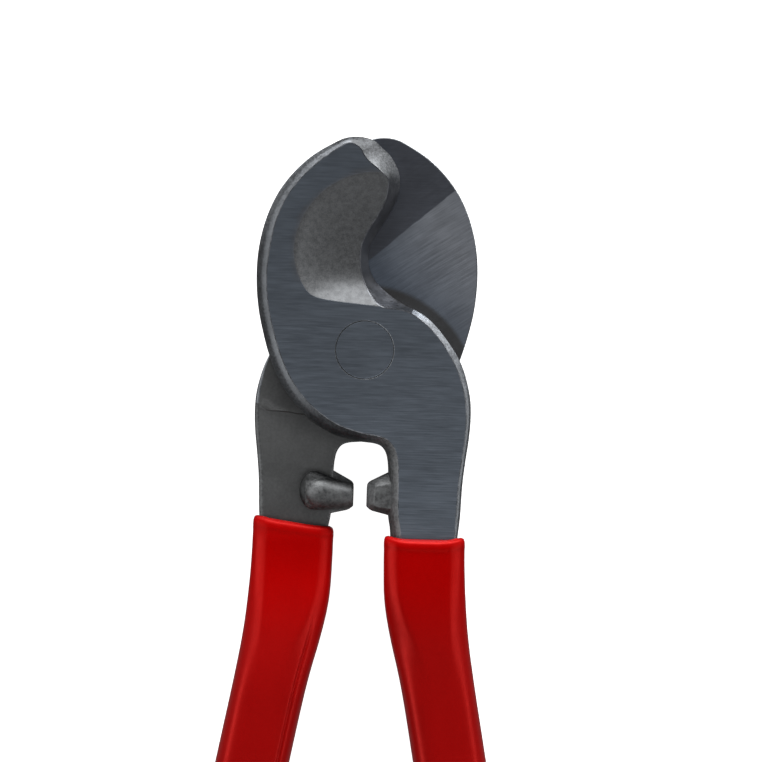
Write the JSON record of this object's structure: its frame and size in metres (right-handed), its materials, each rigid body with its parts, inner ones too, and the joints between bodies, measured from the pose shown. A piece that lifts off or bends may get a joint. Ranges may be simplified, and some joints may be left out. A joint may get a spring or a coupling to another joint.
{
  "type": "cable cutter",
  "caption": "Hand cable cutter with crossing hooked jaws on a flush rivet, stop lugs between the tangs and soft slip-on grips.",
  "frame": {"origin": "on the pivot axis, in the plane of the ground back face of the head", "axes": "+Z along the pivot axis from the back face to the front face, +Y from the pivot to the jaw tips, +X towards the front half's handle"},
  "size_m": [0.08, 0.2399, 0.0172],
  "materials": {
    "ground_steel": "blued, with ground faces and as-forged sides",
    "red_pvc": "glossy, slightly soft"
  },
  "bodies": {
    "rear_half": {"rear_blade": "ground_steel", "rear_grip": "red_pvc", "pivot_rivet": "ground_steel"},
    "front_half": {"front_blade": "ground_steel", "front_grip": "red_pvc"}
  },
  "joints": [
    {"name": "pivot", "type": "hinge", "parent": "rear_half", "child": "front_half", "pos_m": [0, 0, 0.0065], "axis": [0, 0, 1], "range_deg": [-4.5, 80]}
  ]
}
